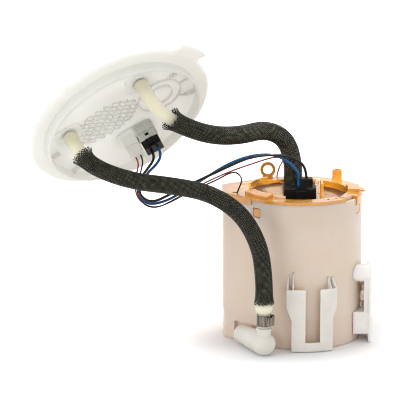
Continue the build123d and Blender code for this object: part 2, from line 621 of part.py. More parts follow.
THIN_BLACK_LEAD = [
    flange_point(-0.8, PLUG_ROW, SENDER_PLUG_END),
    flange_point(-0.8, PLUG_ROW, SENDER_PLUG_END + 6),
    (-134.0, -3.5, 143.0),
    (-137.5, -6.5, 132.5),
    (-136.5, -7.0, 119.0),
    (-125.0, -7.0, 110.5),
    (-109.0, -7.0, 116.5),
    (-92.0, -7.5, 126.5),
    (-72.0, -8.0, 135.0),
    (-55.0, -7.5, 144.5),
    (-48.0, -11.0, 138.0),
    (-51.0, -14.5, 131.0),
    (LEAD_HOLE[0], LEAD_HOLE[1], 122.5),
    (-54.5, -9.5, 113.0),
    (-54.0, 3.0, 107.0),
    (-54.0, 17.0, 105.0),
    (-55.5, 32.0, 104.5),
    (-44.0, 43.5, 104.5),
    (-31.0, 53.0, 105.0),
    (-17.0, 57.7, 103.0),
    (-4.0, 59.6, 92.0),
    (10.0, 59.0, 74.7),
    (24.0, 54.6, 57.0),
    (36.5, 46.0, 41.0),
    (45.6, 34.6, 27.5),
    (53.0, 24.5, 17.0),
    (56.8, 15.5, 17.5),
    (56.8, TERMINAL_REAR, 17.5),
]
LEADS = {
    "blue_lead": (BLUE_LEAD, THICK_WIRE),
    "black_lead": (BLACK_LEAD, THICK_WIRE),
    "red_sender_lead": (RED_LEAD, THIN_WIRE),
    "black_sender_lead": (THIN_BLACK_LEAD, THIN_WIRE),
}


# ---------------------------------------------------------------- pump
def pump_casing():
    """Drawn steel tube, rolled over at both ends."""
    return ring(PUMP_RADIUS, PUMP_RADIUS - 1.0, PUMP_BOTTOM, PUMP_TOP)


def pump_magnets():
    pair = [sector(PUMP_RADIUS - 1.0, 14.6, 40.0, 78.0, start, 130) for start in (25, 205)]
    return group(pair)


def pump_base():
    """Inlet cover with its bearing and inlet spout."""
    body = drum(17.95, PUMP_BOTTOM + 0.05, 24.0) + drum(5.2, 10.0, PUMP_BOTTOM + 1, *INLET)
    body -= drum(3.0, 9.0, 25.0, *INLET)
    body -= drum(SHAFT_RADIUS + RUNNING_GAP, 20.0, 25.0)
    return body


def pump_guide():
    """Middle plate between the impeller and the armature."""
    body = drum(17.95, 28.2, 33.0) - drum(SHAFT_RADIUS + RUNNING_GAP, 28.0, 34.0)
    body -= drum(2.4, 28.0, 34.0, -12.5, 0.0)
    body += ring(17.95, 15.4, 24.0, 28.2)
    return body


def impeller():
    """Regenerative turbine disc with a ring of small vanes."""
    disc = drum(14.9, 24.3, 27.9)
    for turn in range(24):
        disc -= Rot(0, 0, 15 * turn) * Pos(14.2, 0, 26.1) * Box(2.6, 1.9, 5.0)
    disc -= drum(SHAFT_RADIUS, 23.0, 29.0)
    return disc


def rotor_shaft():
    return drum(SHAFT_RADIUS, 20.6, 95.6)


def armature():
    """Laminated core with winding slots."""
    core = drum(13.8, 42.0, 76.0)
    for turn in range(8):
        core -= Rot(0, 0, 45 * turn) * Pos(13.0, 0, 59.0) * Box(3.4, 1.8, 40.0)
        core -= Rot(0, 0, 45 * turn) * Pos(9.6, 0, 59.0) * Cylinder(2.1, 40.0)
    core -= drum(SHAFT_RADIUS, 40.0, 80.0)
    return core


def armature_windings():
    """Copper end turns above and below the core."""
    upper = ring(11.6, 3.0, 76.0, 80.5)
    lower = ring(11.6, 3.0, 37.5, 42.0)
    return group([upper, lower])


def commutator():
    body = ring(6.6, SHAFT_RADIUS, 80.8, 88.0)
    for turn in range(8):
        body -= Rot(0, 0, 45 * turn + 22.5) * Pos(6.6, 0, 84.0) * Box(1.0, 0.4, 10.0)
    return body


def carbon_brushes():
    return group([Rot(0, 0, turn) * block((6.75, 11.5), (-2.2, 2.2), (81.6, 87.2)) for turn in (90, 270)])


def brush_springs():
    coils = []
    for turn in (90, 270):
        coils.append(Rot(0, 0, turn) * rod((11.5, 0, 84.4), (16.0, 0, 84.4), 1.8))
    return group(coils)


def pump_end_cap():
    """Outlet cap: top bearing, brush guides, outlet nipple and the socket for the plug."""
    body = drum(17.95, 89.0, PUMP_TOP - 0.05) + drum(17.0, PUMP_TOP - 1, 104.0)
    for turn in (90, 270):
        guide = block((8.0, 18.5), (-3.6, 3.6), (81.0, 90.0)) & drum(17.9, 80.0, 91.0)
        guide -= block((6.0, 16.0), (-2.25, 2.25), (81.5, 87.3))
        body += Rot(0, 0, turn) * guide
    body -= drum(SHAFT_RADIUS + RUNNING_GAP, 88.0, 96.0)
    x, y = OUTLET
    body += drum(6.0, 103.0, 110.0, x, y) + drum(HOSE_BORE_RADIUS - 0.05, 109.0, 119.0, x, y)
    body -= drum(2.7, 88.0, 130.0, x, y)
    body -= drum(3.4, 96.0, 106.0, x, y)
    body += Pos(1.4, -7.0, 107.0) * Box(24.0, 13.0, 8.0)
    body -= Pos(1.4, -7.0, 108.5) * Box(20.4, 9.4, 8.0)
    return body


def outlet_valve():
    """Plunger that lifts off its seat when the pump runs."""
    x, y = OUTLET
    return drum(3.2, 96.2, 98.0, x, y) + drum(1.2, 97.5, 102.0, x, y)


def outlet_valve_spring():
    x, y = OUTLET
    return ring(2.5, 1.7, 98.2, 105.8, x, y)


def pump_plug():
    """Black plug on the pump: main shell, latch housing and the two lead entries."""
    body = Pos(1.4, -7.0, 109.0) * Box(20.0, 9.0, 6.0)
    body += Pos(0.4, -6.0, 120.5) * Box(27.0, 14.0, 19.0)
    body += Pos(6.0, -4.0, 133.0) * Box(10.2, 8.0, 8.0)
    # Recess for the latch, a slot across the lead hood and a chamfered front edge.
    body -= Pos(1.4, -12.2, 130.0) * Box(9.6, 3.0, 4.0)
    body -= Pos(6.6, -7.4, 133.5) * Box(7.0, 2.6, 3.0)
    body -= Pos(0.4, -13.0, 130.0) * Rot(45, 0, 0) * Box(30.0, 1.4, 1.4)
    return body


def pump_plug_latch():
    """Sprung latch lever on the plug's face."""
    lever = Pos(1.4, -14.2, 121.5) * Box(9.0, 1.6, 12.0)
    lever += Pos(1.4, -13.2, 126.9) * Box(9.0, 0.4, 1.4)
    return lever


def pump_cradle():
    """Natural-white holder: a ring inside the pot's mouth, three sprung arms and a pump sleeve."""
    body = ring(47.0, 45.0, 108.0, 122.0) + ring(PUMP_RADIUS + 2.4, PUMP_RADIUS + 0.1, 84.0, 97.0)
    for angle in (205.0, 325.0, 85.0):
        arm = block((PUMP_RADIUS + 1.4, 46.0), (-3.0, 3.0), (93.0, 95.0))
        arm += block((44.2, 46.0), (-3.0, 3.0), (93.0, 110.0))
        body += Rot(0, 0, angle) * arm
    for angle in (205.0, 325.0):
        body += Rot(0, 0, angle) * block((45.5, 50.6), (-4.0, 4.0), (119.0, 122.0))
    # A tab that fills the gap in the cover's rim, and one inside the front of the mouth.
    body += Rot(0, 0, -37.5) * block((45.5, 50.2), (-5.0, 5.0), (116.0, COVER_TOP + 1.0))
    body += Rot(0, 0, 243.5) * (block((38.6, 40.8), (-5.0, 5.0), (112.0, COVER_TOP + 2.0)) + block((40.0, 46.0), (-5.0, 5.0), (112.0, 119.0)))
    # Pale guide post beside the plug.
    body += block((14.4, 18.4), (10.5, 14.0), (90.0, 133.0))
    for height in (129.0, 120.5):
        body -= rod((16.4, 5.0, height), (16.4, 20.0, height), 0.7)
    return body - drum(PUMP_RADIUS + 0.1, 80.0, 98.0)


def pump_rubber():
    """Rubber foot that carries the pump clear of the pot's floor."""
    body = ring(PUMP_RADIUS + 3.0, PUMP_RADIUS + 0.05, 14.0, 26.0) + ring(PUMP_RADIUS + 3.0, PUMP_RADIUS - 2.0, 14.0, PUMP_BOTTOM)
    for angle in (60.0, 180.0, 300.0):
        body += Rot(0, 0, angle) * drum(3.0, POT_FLOOR, 15.0, PUMP_RADIUS - 1.0, 0.0)
    return body


def strainer():
    """Fine mesh inlet sock on its spout ring."""
    x, y = INLET
    sock = Pos(x - 1, y, 5.6) * extrude(RectangleRounded(28, 18, 6), amount=4.0)
    sock += ring(6.6, 5.2, 9.0, 13.4, x, y)
    sock -= drum(3.0, 7.6, 12.0, x, y)
    return sock


def foot_valve():
    """Umbrella flap over the floor's ports."""
    x, y = FOOT_VALVE
    flap = drum(7.0, POT_FLOOR + 0.05, POT_FLOOR + 1.0, x, y)
    flap += drum(1.5, 0.6, POT_FLOOR + 0.8, x, y)
    return flap + drum(2.4, POT_FLOOR + 0.9, 5.0, x, y)


# ---------------------------------------------------------------- write every piece
PIECES = {
    "swirl_pot": swirl_pot,
    "top_cover": top_cover,
    "front_guide_bracket": front_guide_bracket,
    "sender_holder": sender_holder,
    "sender_card": sender_card,
    "sender_wiper": sender_wiper,
    "float_arm": float_arm,
    "sender_float": sender_float,
    "jet_pump_elbow": jet_pump_elbow,
    "jet_nozzle": jet_nozzle,
    "hose_clamp": hose_clamp,
    "flange_disc": flange_disc,
    "flange_socket": flange_socket,
    "socket_pins": socket_pins,
    "pump_lead_plug": pump_lead_plug,
    "sender_lead_plug": sender_lead_plug,
    "pump_casing": pump_casing,
    "pump_magnets": pump_magnets,
    "pump_base": pump_base,
    "pump_guide": pump_guide,
    "impeller": impeller,
    "rotor_shaft": rotor_shaft,
    "armature": armature,
    "armature_windings": armature_windings,
    "commutator": commutator,
    "carbon_brushes": carbon_brushes,
    "brush_springs": brush_springs,
    "pump_end_cap": pump_end_cap,
    "outlet_valve": outlet_valve,
    "outlet_valve_spring": outlet_valve_spring,
    "pump_plug": pump_plug,
    "pump_plug_latch": pump_plug_latch,
    "pump_cradle": pump_cradle,
    "pump_rubber": pump_rubber,
    "strainer": strainer,
    "foot_valve": foot_valve,
}
for name, make in PIECES.items():
    save(name, make())
save("supply_nipple", port_nipple(SUPPLY_PORT, 170.0))
save("return_nipple", port_nipple(RETURN_PORT, 255.0))
save("return_tube", tube(return_tube_path, HOSE_TUBE_RADIUS, HOSE_BORE_RADIUS))
save("return_sleeve", tube(return_sleeve_path, SLEEVE_RADIUS, SLEEVE_BORE_RADIUS))
save("supply_tube", tube(supply_tube_path, HOSE_TUBE_RADIUS, HOSE_BORE_RADIUS))
save("supply_sleeve", tube(supply_sleeve_path, SUPPLY_SLEEVE_RADIUS, SLEEVE_BORE_RADIUS))
for name, (points, diameter) in LEADS.items():
    path = route(name, points)
    wire = tube(path, diameter / 2)
    print(f"{name}: volume {wire.volume:.1f}, section times length {path.length * math.pi * diameter ** 2 / 4:.1f}")
    save(name, wire)
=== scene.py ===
# A fuel pump module: swirl pot, orange cover, level sender, tank flange, braided hoses and lead wires.
# Every length is in metres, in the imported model's frame: the origin is the centre of the pot's underside.
import math

import bpy
import numpy as np
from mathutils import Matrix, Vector


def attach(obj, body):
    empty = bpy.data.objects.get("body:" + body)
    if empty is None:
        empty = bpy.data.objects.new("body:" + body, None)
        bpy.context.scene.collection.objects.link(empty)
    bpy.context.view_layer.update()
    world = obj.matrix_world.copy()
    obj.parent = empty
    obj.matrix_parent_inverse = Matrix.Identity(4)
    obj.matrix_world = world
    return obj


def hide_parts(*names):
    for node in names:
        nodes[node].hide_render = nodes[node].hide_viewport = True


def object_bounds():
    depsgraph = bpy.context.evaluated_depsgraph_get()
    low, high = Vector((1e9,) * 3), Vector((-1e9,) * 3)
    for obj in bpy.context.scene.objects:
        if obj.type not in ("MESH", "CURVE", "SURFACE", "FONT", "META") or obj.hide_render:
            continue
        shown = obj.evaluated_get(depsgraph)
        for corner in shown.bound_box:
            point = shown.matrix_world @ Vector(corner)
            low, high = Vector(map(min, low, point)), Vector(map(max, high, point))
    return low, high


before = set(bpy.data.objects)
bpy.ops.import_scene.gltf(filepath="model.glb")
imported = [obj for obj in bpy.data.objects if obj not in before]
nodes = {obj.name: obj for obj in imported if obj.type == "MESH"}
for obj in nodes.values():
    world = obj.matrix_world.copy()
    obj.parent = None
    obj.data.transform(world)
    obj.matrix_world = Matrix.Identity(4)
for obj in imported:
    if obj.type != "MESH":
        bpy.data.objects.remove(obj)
cad_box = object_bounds()
scene = bpy.context.scene

# ---------------------------------------------------------------- camera and studio
# The camera looks along +Y, 12.5 degrees down, from about two metres away. Soft lamps stand above, to the
# left and in front, and two narrow ones shine into the pot's mouth. The pale floor fades into the white.
CAMERA_PLACE = (-0.08415, -1.9526, 0.5499)
CAMERA_PITCH = 12.5
CAMERA_LENS = 211.8
WORLD_LIGHT = 0.84
SOFT_LAMPS = (
    ("lamp_above", (0.1, 0.7, 2.5), 1.2, 26),
    ("lamp_left", (-2.4, -1.2, 1.0), 1.2, 14),
    ("lamp_front", (1.0, -2.8, 0.9), 1.4, 6),
)
SOFT_LAMPS_AIM = (0, 0, 0.1)
# Each lamp's name, its place to the right of the pump's axis, its watts and its beam's angle.
MOUTH_LAMPS = (("lamp_mouth_left", -0.028, 30, 6), ("lamp_mouth_right", 0.024, 32, 4.4))
FLOOR_HALF = 9.0
FLOOR_GAP = 0.0002
FLOOR_GREY = 0.84
camera = bpy.data.objects.new("camera", bpy.data.cameras.new("camera"))
camera.location = CAMERA_PLACE
camera.rotation_euler = (math.radians(90 - CAMERA_PITCH), 0, 0)
camera.data.lens = CAMERA_LENS
camera.data.clip_end = 50
scene.collection.objects.link(camera)
scene.camera = camera
scene.view_settings.view_transform = "Standard"
# A narrow pixel filter and the denoiser's cleaned guide passes keep the braid's weave sharp.
scene.cycles.filter_width = 1.1
scene.cycles.denoising_prefilter = "ACCURATE"


def node(tree, kind, inputs=(), **settings):
    """A new shader node with its settings and the values of its sockets."""
    made = tree.nodes.new(kind)
    for name, value in settings.items():
        setattr(made, name, value)
    for socket, value in dict(inputs).items():
        made.inputs[socket].default_value = value
    return made


def seen_directly(tree):
    """1 for rays that show the background itself: straight from the camera, in a gloss or through glass."""
    path = node(tree, "ShaderNodeLightPath")
    either = node(tree, "ShaderNodeMath", operation="MAXIMUM")
    any_of = node(tree, "ShaderNodeMath", operation="MAXIMUM")
    tree.links.new(path.outputs["Is Camera Ray"], either.inputs[0])
    tree.links.new(path.outputs["Is Glossy Ray"], either.inputs[1])
    tree.links.new(either.outputs[0], any_of.inputs[0])
    tree.links.new(path.outputs["Is Transmission Ray"], any_of.inputs[1])
    return any_of.outputs[0]


def surroundings():
    """An even white world, which is seen as pure white and lights the part a little less than that."""
    scene.world = bpy.data.worlds.new("studio")
    scene.world.use_nodes = True
    tree = scene.world.node_tree
    light = tree.nodes["Background"]
    light.inputs["Color"].default_value = (1, 1, 1, 1)
    light.inputs["Strength"].default_value = WORLD_LIGHT
    shown = node(tree, "ShaderNodeBackground", {"Color": (1, 1, 1, 1), "Strength": 1.0})
    mix = node(tree, "ShaderNodeMixShader")
    tree.links.new(seen_directly(tree), mix.inputs[0])
    tree.links.new(light.outputs[0], mix.inputs[1])
    tree.links.new(shown.outputs[0], mix.inputs[2])
    tree.links.new(mix.outputs[0], tree.nodes["World Output"].inputs["Surface"])


def lamp(name, kind, place, aim, power):
    """A lamp of the given kind and watts, turned towards its aim."""
    made = bpy.data.objects.new(name, bpy.data.lights.new(name, kind))
    made.data.energy = power
    made.location = place
    made.rotation_euler = (Vector(aim) - Vector(place)).to_track_quat("-Z", "Y").to_euler()
    scene.collection.objects.link(made)
    return made.data


def floor_paint():
    """Matt pale grey that keeps the shadow near the pot and, only to the eye, glows white further out."""
    made = bpy.data.materials.new("floor")
    made.use_nodes = True
    tree = made.node_tree
    shader = tree.nodes["Principled BSDF"]
    shader.inputs["Base Color"].default_value = (FLOOR_GREY, FLOOR_GREY, FLOOR_GREY, 1)
    shader.inputs["Roughness"].default_value = 1.0
    shader.inputs["Specular IOR Level"].default_value = 0.0
    glow = node(tree, "ShaderNodeEmission", {"Color": (1, 1, 1, 1)})
    distance = node(tree, "ShaderNodeVectorMath", operation="LENGTH")
    tree.links.new(node(tree, "ShaderNodeTexCoord").outputs["Object"], distance.inputs[0])
    fade = node(tree, "ShaderNodeMapRange", interpolation_type="SMOOTHSTEP", inputs={
        "From Min": 0.06, "From Max": 0.15, "To Min": 0.0, "To Max": 0.6})
    tree.links.new(distance.outputs["Value"], fade.inputs["Value"])
    share = node(tree, "ShaderNodeMath", operation="MULTIPLY")
    tree.links.new(seen_directly(tree), share.inputs[0])
    tree.links.new(fade.outputs["Result"], share.inputs[1])
    tree.links.new(share.outputs[0], glow.inputs["Strength"])
    both = node(tree, "ShaderNodeAddShader")
    tree.links.new(shader.outputs[0], both.inputs[0])
    tree.links.new(glow.outputs[0], both.inputs[1])
    tree.links.new(both.outputs[0], tree.nodes["Material Output"].inputs["Surface"])
    return made


surroundings()
for name, place, size, power in SOFT_LAMPS:
    lamp(name, "AREA", place, SOFT_LAMPS_AIM, power).size = size
# The narrow lamps shine over the pot's front rim onto the wall behind the pump, one on each side of it.
for name, x, power, beam in MOUTH_LAMPS:
    spot = lamp(name, "SPOT", (x, -0.45, 0.61), (x, 0.036, 0.108), power)
    spot.spot_size = math.radians(beam)
    spot.spot_blend = 0.8
    spot.shadow_soft_size = 0.02
floor_mesh = bpy.data.meshes.new("floor")
floor_corners = [(x * FLOOR_HALF, y * FLOOR_HALF, 0) for x, y in ((-1, -1), (1, -1), (1, 1), (-1, 1))]
floor_mesh.from_pydata(floor_corners, [], [(0, 1, 2, 3)])
floor_mesh.materials.append(floor_paint())
floor = bpy.data.objects.new("floor", floor_mesh)
floor.location.z = cad_box[0].z - FLOOR_GAP
scene.collection.objects.link(floor)


# ---------------------------------------------------------------- hoses
# Two nylon fuel hoses, each in a loose black braided sleeve that is cut at both ends, so it flares and frays.
# The hoses are pushed onto barbs: two under the flange, one on the pump and one on the jet pump's elbow.
RETURN_HOSE = [
    (-0.1928, -0.0229, 0.1764), (-0.1848, -0.0353, 0.1644), (-0.17, -0.043, 0.153),
    (-0.14, -0.048, 0.1435), (-0.107, -0.0515, 0.1405), (-0.076, -0.056, 0.1355),
    (-0.05, -0.063, 0.12), (-0.035, -0.067, 0.0935), (-0.0313, -0.0695, 0.067),
    (-0.031, -0.069, 0.045), (-0.031, -0.069, 0.0236),
]
SUPPLY_HOSE = [
    (-0.1333, -0.0283, 0.2214), (-0.1264, -0.039, 0.2109), (-0.1155, -0.0395, 0.1985),
    (-0.097, -0.031, 0.186), (-0.074, -0.022, 0.177), (-0.051, -0.012, 0.175),
    (-0.0285, 0, 0.1785), (-0.011, 0.01, 0.168), (-0.0046, 0.0125, 0.147),
    (-0.005, 0.013, 0.128), (-0.005, 0.013, 0.11),
]
HOSE_RADIUS = 0.0052
RETURN_SLEEVE_RADIUS = 0.0070
SUPPLY_SLEEVE_RADIUS = 0.0076
CARRIERS = 24
STEPS_A_CROSSING = 4
STRAND_SHARE = 0.84
STRAND_RISE = 0.00016
STRAND_CROWN = 0.00010
# Near a cut end the strands flare out, splay apart and taper, each over its own length, and end unevenly.
FLARE_LENGTH = 0.0036
LOOSE_LENGTH = 0.0016
TAPER_LENGTH = 0.0028
TIP_TAPER = 0.6
SPLAY = 0.05
SPLAYED_LIFT = 0.0006
RAGGED = 0.0009
REACH = 0.003
SLEEVE_STATIONS = 600
OVER_THE_BARB = (1.22, 1.2, 1.05)
# How far red, green and blue light spread in natural nylon and acetal, against each other.
MILKY = (1.0, 0.94, 0.82)
# The part of soft noise's range that most of it falls in, and how far roughness wanders with it.
CLOUD_SPAN = (0.3, 0.7)
GLOSSIER, DULLER = -0.06, 0.08


def linear(*levels):
    """A colour given as 0 to 255 screen levels, as the shader's linear values."""
    return tuple(((v / 255 + 0.055) / 1.055) ** 2.4 if v > 10 else v / 255 / 12.92 for v in levels)


def coordinates(tree, scale=(1, 1, 1)):
    """Places in the piece's own space, stretched by the scale."""
    place = node(tree, "ShaderNodeTexCoord")
    stretch = node(tree, "ShaderNodeMapping", {"Scale": scale})
    tree.links.new(place.outputs["Object"], stretch.inputs["Vector"])
    return stretch.outputs["Vector"]


def cloud(tree, scale, detail=3.0, roughness=0.5, stretch=(1, 1, 1)):
    """Soft noise in the object's own space."""
    made = node(tree, "ShaderNodeTexNoise", {"Scale": scale, "Detail": detail, "Roughness": roughness})
    tree.links.new(coordinates(tree, stretch), made.inputs["Vector"])
    return made.outputs["Fac"]


def spread(tree, value, low, high, out_low=0.0, out_high=1.0):
    """Maps a value's range to another."""
    made = node(tree, "ShaderNodeMapRange")
    for socket, number in (("From Min", low), ("From Max", high), ("To Min", out_low), ("To Max", out_high)):
        made.inputs[socket].default_value = number
    tree.links.new(value, made.inputs["Value"])
    return made.outputs["Result"]


def blended(tree, factor, first, second):
    """A colour between two, each a tuple or another node's output."""
    made = node(tree, "ShaderNodeMix", data_type="RGBA")
    tree.links.new(factor, made.inputs["Factor"])
    for socket, colour in (("A", first), ("B", second)):
        target = [s for s in made.inputs if s.name == socket and s.type == "RGBA"][0]
        if isinstance(colour, tuple):
            target.default_value = (*colour, 1)
        else:
            tree.links.new(colour, target)
    return [s for s in made.outputs if s.type == "RGBA"][0]


def raised(tree, height, distance, strength=1.0, below=None):
    """A bump from a height, on top of another normal where one is given."""
    made = node(tree, "ShaderNodeBump", {"Strength": strength, "Distance": distance})
    tree.links.new(height, made.inputs["Height"])
    if below is not None:
        tree.links.new(below, made.inputs["Normal"])
    return made.outputs["Normal"]


def plain(name, roughness, **sockets):
    """A new Principled material, and its tree and shader. Other sockets are the same all over the surface."""
    made = bpy.data.materials.new(name)
    made.use_nodes = True
    shader = made.node_tree.nodes["Principled BSDF"]
    shader.inputs["Roughness"].default_value = roughness
    for socket, value in sockets.items():
        shader.inputs[socket.replace("_", " ")].default_value = value
    return made, made.node_tree, shader


def moulded(name, colour, shade, roughness=0.42, grain=0.00003, edge=0.0003, patch=60.0, **sockets):
    """A moulded plastic: slow colour drift, uneven gloss, fine spark-eroded grain and softened edges."""
    made, tree, shader = plain(name, roughness, **sockets)
    drift = cloud(tree, patch, 4.0, 0.6)
    tint = blended(tree, spread(tree, drift, *CLOUD_SPAN), shade, colour)
    tree.links.new(tint, shader.inputs["Base Color"])
    uneven = cloud(tree, patch * 3, 2.0)
    gloss = spread(tree, uneven, *CLOUD_SPAN, roughness + GLOSSIER, roughness + DULLER)
    tree.links.new(gloss, shader.inputs["Roughness"])
    soft_edge = node(tree, "ShaderNodeBevel", {"Radius": edge}, samples=4)
    fine = raised(tree, cloud(tree, 2600.0, 2.0), grain, 0.5, soft_edge.outputs["Normal"])
    tree.links.new(raised(tree, drift, 0.0004, 0.15, fine), shader.inputs["Normal"])
    return made


def paint(piece, material):
    """The piece's only material, with smooth shading between its sharp edges."""
    piece.data.materials.clear()
    piece.data.materials.append(material)
    if piece.type == "MESH":
        piece.data.shade_smooth()
        piece.data.set_sharp_from_angle(angle=math.radians(32))


def spine(name, points, radius=0.0, stretch=()):
    """A cord's own line: one open NURBS spline with the route's points as its control points.

    The stretch widens its first points, as over a barb."""
    curve = bpy.data.curves.new(name, "CURVE")
    curve.dimensions = "3D"
    curve.resolution_u = 24
    spline = curve.splines.new("NURBS")
    spline.points.add(len(points) - 1)
    for control, place in zip(spline.points, points):
        control.co = (*place, 1)
    for control, factor in zip(spline.points, stretch):
        control.radius = factor
    spline.order_u = 3
    spline.use_endpoint_u = True
    curve.bevel_depth = radius
    curve.bevel_resolution = 5
    curve.use_fill_caps = True
    made = bpy.data.objects.new(name, curve)
    scene.collection.objects.link(made)
    return made


def centreline(points):
    """The points of a route's NURBS line, as a numpy array."""
    guide = spine("guide", points)
    mesh = bpy.data.meshes.new_from_object(guide)
    line = np.array([v.co for v in mesh.vertices])
    bpy.data.objects.remove(guide)
    bpy.data.meshes.remove(mesh)
    return line


def lengths_along(line):
    """How far each point of a line lies from its start, along it."""
    steps = np.linalg.norm(np.diff(line, axis=0), axis=1)
    return np.concatenate([[0.0], np.cumsum(steps)])


def frames_along(line, places):
    """Points at the given lengths along a line, with two side vectors that turn with it and don't twist."""
    along = lengths_along(line)
    points = np.stack([np.interp(places, along, line[:, axis]) for axis in range(3)], axis=1)
    tangents = np.gradient(points, axis=0)
    tangents /= np.linalg.norm(tangents, axis=1)[:, None]
    side = np.cross(tangents[0], (0.31, 0.52, 0.79))
    sides = []
    for tangent in tangents:
        side = side - tangent * np.dot(side, tangent)
        side /= np.linalg.norm(side)
        sides.append(side)
    sides = np.array(sides)
    return points, sides, np.cross(tangents, sides)


def mesh_object(name, verts, faces):
    """A new mesh piece from arrays of points and four-sided faces."""
    mesh = bpy.data.meshes.new(name)
    mesh.from_pydata(verts.tolist(), [], faces.tolist())
    mesh.update()
    made = bpy.data.objects.new(name, mesh)
    scene.collection.objects.link(made)
    return made


def braided_sleeve(name, route, start, end, flares, radius, seed):
    """Strands wound both ways over and under each other, between two lengths along the route.

    Each cut end flares by its own amount, and its strands end unevenly."""
    rng = np.random.default_rng(seed)
    length = end - start
    grid = np.linspace(-REACH, length + REACH, SLEEVE_STATIONS)
    points, across, up = frames_along(centreline(route), start + grid)
    count = int(length / (math.pi * radius / CARRIERS) * STEPS_A_CROSSING)
    half_width = STRAND_SHARE * math.pi * radius / CARRIERS * math.sqrt(0.5)
    offsets = np.array([-1.0, 0.0, 1.0])
    corner = np.arange(count - 1)[:, None] * 3 + np.array([0, 1])
    patch = np.stack([corner, corner + 1, corner + 4, corner + 3], axis=-1).reshape(-1, 4)
    verts, faces, glint_uv = [], [], []
    for number in range(2 * CARRIERS):
        way = 1 if number < CARRIERS else -1
        ragged = rng.uniform(-RAGGED, RAGGED, 2)
        splay = rng.normal(0.0, SPLAY, 2)
        s = np.linspace(ragged[0], length + ragged[1], count)[:, None]
        wound = 2 * math.pi * number / CARRIERS + way * s / radius
        weave = way * np.cos(CARRIERS * (wound + way * s / radius) / 2 + math.pi * number)
        from_start, from_end = np.clip(s, 0, 1), np.clip(length - s, 0, 1)
        flare = flares[0] * np.exp(-from_start / FLARE_LENGTH) + flares[1] * np.exp(-from_end / FLARE_LENGTH)
        loose = splay[0] * np.exp(-from_start / LOOSE_LENGTH) + splay[1] * np.exp(-from_end / LOOSE_LENGTH)
        tips = np.exp(-from_start / TAPER_LENGTH), np.exp(-from_end / TAPER_LENGTH)
        taper = 1 - TIP_TAPER * tips[0] - TIP_TAPER * tips[1]
        side = offsets * half_width * math.sqrt(0.5) * taper
        turn = wound + side / radius + loose
        slide = np.clip(s - way * side, -REACH, length + REACH)
        crown = STRAND_CROWN * (1 - offsets ** 2)
        lift = radius + flare + STRAND_RISE * weave + crown + SPLAYED_LIFT * np.abs(loose)
        centre, first, second = (
            np.stack([np.interp(slide, grid, part[:, axis]) for axis in range(3)], axis=-1)
            for part in (points, across, up))
        outward = first * np.cos(turn)[..., None] + second * np.sin(turn)[..., None]
        faces.append((patch if way > 0 else patch[:, ::-1]) + number * count * 3)
        verts.append((centre + outward * lift[..., None]).reshape(-1, 3))
        shine = np.broadcast_arrays((1 + weave) / 2, np.abs(offsets))
        glint_uv.append(np.stack(shine, axis=-1).reshape(-1, 2))
    made = mesh_object(name, np.concatenate(verts), np.concatenate(faces))
    # U is 1 where a strand passes over another and 0 where it passes under; V is 0 along its middle. They
    # place the strands' painted highlight.
    layer = made.data.uv_layers.new(name="crown")
    corners = np.zeros(len(made.data.loops), dtype=np.int32)
    made.data.loops.foreach_get("vertex_index", corners)
    layer.data.foreach_set("uv", np.concatenate(glint_uv)[corners].ravel())
    return made


def swell(name, route, start, radii, spacing):
    """A short ring of hose wall, bulged over a barb: its radii stand at equal steps along the route."""
    around = np.linspace(0, 2 * math.pi, SWELL_SIDES, endpoint=False)
    points, across, up = frames_along(centreline(route), start + spacing * np.arange(len(radii)))
    out = across[:, None] * np.cos(around)[:, None] + up[:, None] * np.sin(around)[:, None]
    verts = points[:, None] + out * np.array(radii)[:, None, None]
    near = np.arange(SWELL_SIDES)
    beside = (near + 1) % SWELL_SIDES
    quad = np.stack([near, beside, beside + SWELL_SIDES, near + SWELL_SIDES], axis=-1)
    faces = np.concatenate([quad + SWELL_SIDES * step for step in range(len(radii) - 1)])
    return mesh_object(name, verts.reshape(-1, 3), faces)


def hose(name, route, sleeve_span, flares, radius, seed):
    """The nylon hose as a curve, with its braid over part of it."""
    tube = spine(name + "_tube_piece", route, HOSE_RADIUS, OVER_THE_BARB)
    paint(tube, hose_nylon)
    sleeve = braided_sleeve(name + "_sleeve_piece", route, *sleeve_span, flares, radius, seed)
    sleeve.data.shade_smooth()
    sleeve.data.materials.append(strand)
    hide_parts(name + "_tube")
    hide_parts(name + "_sleeve")
    for piece in (tube, sleeve):
        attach(piece, "module")


def glinted_strand_material():
    """Black monofilament bundles with a painted highlight: pale colour on their crowns where they pass over.
    """
    made, tree, shader = plain("strand", 0.5, Specular_IOR_Level=0.12)
    place = node(tree, "ShaderNodeSeparateXYZ")
    tree.links.new(node(tree, "ShaderNodeUVMap", uv_map="crown").outputs["UV"], place.inputs[0])
    crown = node(tree, "ShaderNodeMath", operation="MULTIPLY")
    tree.links.new(spread(tree, place.outputs["X"], 0.8, 0.97), crown.inputs[0])
    tree.links.new(spread(tree, place.outputs["Y"], 0.55, 0.2), crown.inputs[1])
    uneven = node(tree, "ShaderNodeMath", operation="MULTIPLY")
    tree.links.new(crown.outputs[0], uneven.inputs[0])
    tree.links.new(spread(tree, cloud(tree, 260.0, 3.0, 0.7), 0.3, 0.62, 0.15, 1.0), uneven.inputs[1])
    # The pale colour on the over-passing crowns is a painted highlight, not the strands' own colour.
    tint = blended(tree, uneven.outputs[0], linear(3, 3, 2), linear(152, 150, 126))
    tree.links.new(tint, shader.inputs["Base Color"])
    tree.links.new(raised(tree, cloud(tree, 5200.0, 2.0), 0.00006, 0.6), shader.inputs["Normal"])
    return made


